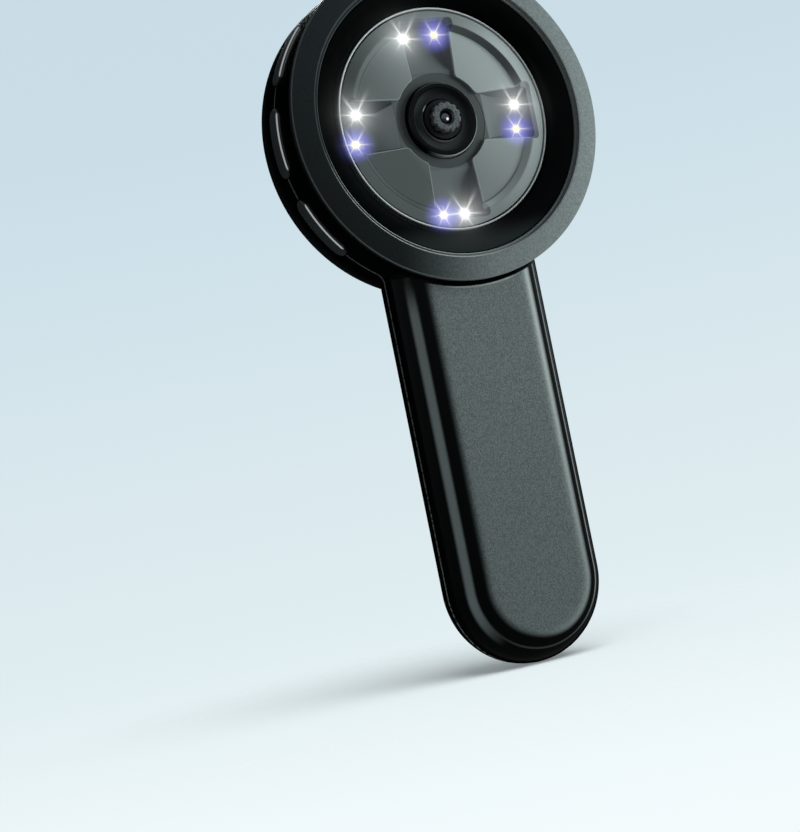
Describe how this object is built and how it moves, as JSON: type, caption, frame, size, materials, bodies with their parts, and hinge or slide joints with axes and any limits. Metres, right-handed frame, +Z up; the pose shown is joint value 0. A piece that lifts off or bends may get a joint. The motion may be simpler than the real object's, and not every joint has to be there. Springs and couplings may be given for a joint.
{
  "type": "handheld digital microscope",
  "caption": "Handheld digital microscope with a lit lens well in a round head, a round rear display, side buttons and a flat grip.",
  "frame": {"origin": "where the hand holds the grip, on the parting plane between the two shells", "axes": "+Z up along the grip towards the head, front with the lens towards -Y, +X to the right when looking at the lens"},
  "size_m": [0.0761, 0.0222, 0.1635],
  "materials": {
    "shell_plastic": "satin black",
    "matt_plastic": "fine spark texture",
    "gloss_black": "high gloss black",
    "reflector_grey": "satin grey",
    "bright_metal": "bright",
    "black_metal": "dark anodised",
    "optical_glass": "coated",
    "button_rubber": "matt",
    "white_led": "moulded white",
    "uv_led": "moulded violet",
    "board_green": "solder mask",
    "chip_black": "moulded",
    "steel": "plated",
    "flex_amber": "film",
    "display_glass": "printed black cover",
    "foam": "foam",
    "battery_foil": "foil pouch",
    "lead_red": "insulation",
    "lead_black": "insulation"
  },
  "bodies": {
    "housing": {"front_shell": "shell_plastic", "rear_shell": "shell_plastic", "contact_ring": "matt_plastic", "light_funnel": "gloss_black", "trim_ring": "bright_metal", "reflector_plate": "reflector_grey", "lens_collar": "gloss_black", "lens_barrel": "black_metal", "lens_glass": "optical_glass", "lens_holder": "chip_black", "image_sensor": "chip_black", "camera_board": "board_green", "led_board": "board_green", "main_board": "board_green", "processor_chip": "chip_black", "memory_chip": "chip_black", "camera_flex": "flex_amber", "display_flex": "flex_amber", "flex_connector": "chip_black", "usb_socket": "steel", "display_glass": "display_glass", "display_gasket": "foam", "display_panel": "display_glass", "battery": "battery_foil", "battery_pad": "foam", "battery_protection_board": "board_green", "battery_connector": "white_led", "battery_lead_red": "lead_red", "battery_lead_black": "lead_black", "white_led_top": "white_led", "uv_led_top": "uv_led", "white_led_right": "white_led", "uv_led_right": "uv_led", "white_led_bottom": "white_led", "uv_led_bottom": "uv_led", "white_led_left": "white_led", "uv_led_left": "uv_led", "upper_switch": "chip_black", "middle_switch": "chip_black", "lower_switch": "chip_black", "screw_upper_right": "steel", "screw_upper_left": "steel", "screw_lower_left": "steel", "screw_lower_right": "steel"},
    "upper_button": {"upper_button": "button_rubber"},
    "middle_button": {"middle_button": "button_rubber"},
    "lower_button": {"lower_button": "button_rubber"}
  },
  "joints": [
    {"name": "upper_button_press", "type": "slide", "parent": "housing", "child": "upper_button", "axis": [0.8434, 0, -0.5373], "range_m": [0, 0.0003], "stiffness_N_per_m": 1500, "springref_m": -0.0003},
    {"name": "middle_button_press", "type": "slide", "parent": "housing", "child": "middle_button", "axis": [1, 0, 0], "range_m": [0, 0.0003], "stiffness_N_per_m": 1500, "springref_m": -0.0003},
    {"name": "lower_button_press", "type": "slide", "parent": "housing", "child": "lower_button", "axis": [0.8434, 0, 0.5373], "range_m": [0, 0.0003], "stiffness_N_per_m": 1500, "springref_m": -0.0003}
  ]
}
